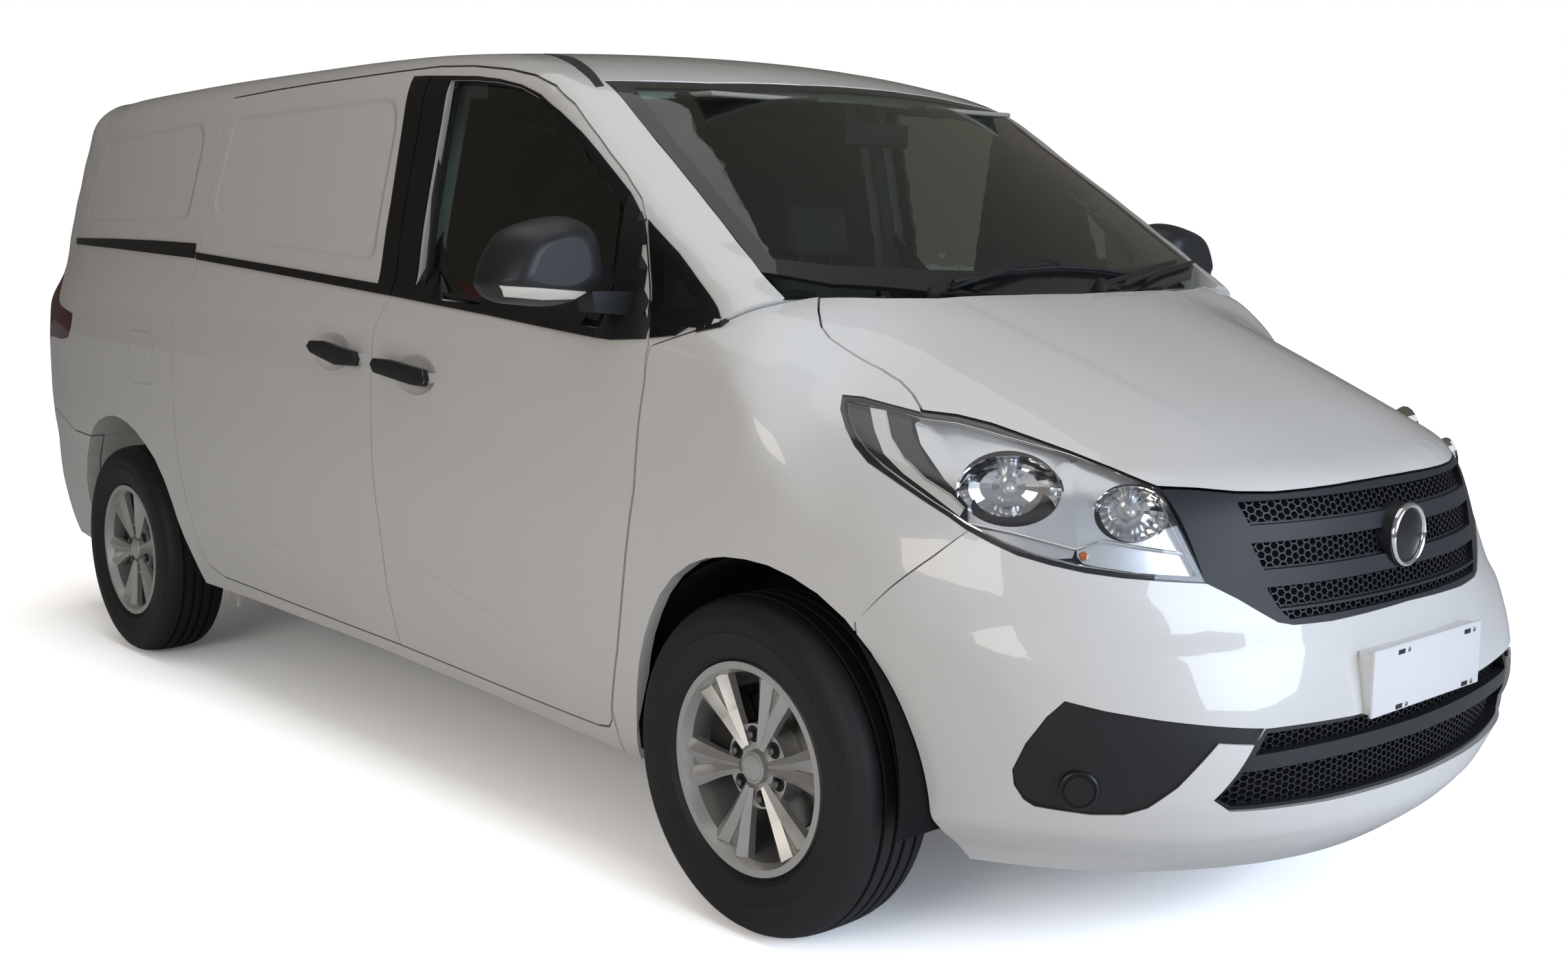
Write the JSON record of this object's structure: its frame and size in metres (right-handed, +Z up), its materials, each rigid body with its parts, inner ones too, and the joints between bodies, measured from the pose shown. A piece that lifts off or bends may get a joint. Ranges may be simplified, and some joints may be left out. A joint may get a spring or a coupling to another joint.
{
  "type": "panel van",
  "caption": "White panel van with a cab for two, sliding side doors, tailgate, raked windscreen and bonnet.",
  "frame": {"origin": "on the ground below the centre of the bounding box", "axes": "+X forward, +Y to the vehicle's left, +Z up"},
  "size_m": [5.1645, 2.4862, 1.9279],
  "materials": {
    "white_paint": "gloss",
    "black_plastic": "satin",
    "grille_plastic": "satin",
    "glass": "gloss",
    "dark_glass": "gloss",
    "lamp_glass": "gloss",
    "red_lamp": "gloss",
    "alloy": "satin",
    "rubber": "matte",
    "chassis": "satin",
    "cast": "matte",
    "grey_trim": "matte",
    "seat_cloth": "matte"
  },
  "bodies": {
    "body": {"bodyside_left": "white_paint", "bodyside_right": "white_paint", "cowl": "black_plastic", "dashboard": "grey_trim", "driver_seat": "seat_cloth", "engine_block": "cast", "exhaust": "chassis", "floor_pan": "chassis", "fog_surround_left": "black_plastic", "fog_surround_right": "black_plastic", "front_bumper": "white_paint", "front_suspension": "chassis", "front_wing_left": "white_paint", "front_wing_right": "white_paint", "fuel_tank": "chassis", "headlamp_left": "lamp_glass", "headlamp_lens_left": "lamp_glass", "headlamp_lens_right": "lamp_glass", "headlamp_right": "lamp_glass", "lower_grille": "black_plastic", "passenger_seat": "seat_cloth", "rear_axle": "cast", "rear_bumper": "white_paint", "roof_panel": "white_paint", "sliding_door_left": "white_paint", "sliding_door_right": "white_paint", "spare_wheel": "rubber", "tail_lamp_left": "red_lamp", "tail_lamp_right": "red_lamp", "upper_grille": "grille_plastic", "windscreen": "glass"},
    "front_door_right": {"front_door_right": "white_paint", "door_glass_right": "glass", "mirror_right": "black_plastic"},
    "knuckle_right": {"knuckle_right": "cast"},
    "wheel_front_right": {"wheel_front_right": "alloy", "tyre_front_right": "rubber"},
    "wheel_rear_right": {"wheel_rear_right": "alloy", "tyre_rear_right": "rubber"},
    "front_door_left": {"front_door_left": "white_paint", "door_glass_left": "glass", "mirror_left": "black_plastic"},
    "knuckle_left": {"knuckle_left": "cast"},
    "wheel_front_left": {"wheel_front_left": "alloy", "tyre_front_left": "rubber"},
    "wheel_rear_left": {"wheel_rear_left": "alloy", "tyre_rear_left": "rubber"},
    "bonnet": {"bonnet": "white_paint"},
    "tailgate": {"tailgate": "white_paint", "tailgate_glass": "dark_glass"},
    "steering_wheel": {"steering_wheel": "grey_trim"}
  },
  "joints": [
    {"name": "door_right_hinge", "type": "hinge", "parent": "body", "child": "front_door_right", "pos_m": [1.338, -0.976, 0.8], "axis": [0, 0, 1], "range_deg": [0, 65]},
    {"name": "door_left_hinge", "type": "hinge", "parent": "body", "child": "front_door_left", "pos_m": [1.338, 0.976, 0.8], "axis": [0, 0, -1], "range_deg": [0, 65]},
    {"name": "bonnet_hinge", "type": "hinge", "parent": "body", "child": "bonnet", "pos_m": [1.56, 0, 1.345], "axis": [0, -1, 0], "range_deg": [0, 55]},
    {"name": "tailgate_hinge", "type": "hinge", "parent": "body", "child": "tailgate", "pos_m": [-2.308, 0, 1.856], "axis": [0, 1, 0], "range_deg": [0, 85]},
    {"name": "steer_right", "type": "hinge", "parent": "body", "child": "knuckle_right", "pos_m": [1.624, -0.775, 0.3535], "axis": [0, 0, 1], "range_deg": [-35, 35]},
    {"name": "spin_front_right", "type": "hinge", "parent": "knuckle_right", "child": "wheel_front_right", "pos_m": [1.624, -0.838, 0.3535], "axis": [0, 1, 0], "continuous": true},
    {"name": "spin_rear_right", "type": "hinge", "parent": "body", "child": "wheel_rear_right", "pos_m": [-1.574, -0.838, 0.3535], "axis": [0, 1, 0], "continuous": true},
    {"name": "steer_left", "type": "hinge", "parent": "body", "child": "knuckle_left", "pos_m": [1.624, 0.775, 0.3535], "axis": [0, 0, 1], "range_deg": [-35, 35]},
    {"name": "spin_front_left", "type": "hinge", "parent": "knuckle_left", "child": "wheel_front_left", "pos_m": [1.624, 0.838, 0.3535], "axis": [0, 1, 0], "continuous": true},
    {"name": "spin_rear_left", "type": "hinge", "parent": "body", "child": "wheel_rear_left", "pos_m": [-1.574, 0.838, 0.3535], "axis": [0, 1, 0], "continuous": true},
    {"name": "steering_wheel_turn", "type": "hinge", "parent": "body", "child": "steering_wheel", "pos_m": [1.075, -0.4, 1.13], "axis": [-0.8211, 0, 0.5708], "range_deg": [-560, 560]}
  ],
  "couplings": [
    {"joint": "steer_left", "follows": "steer_right", "ratio": 1}
  ]
}
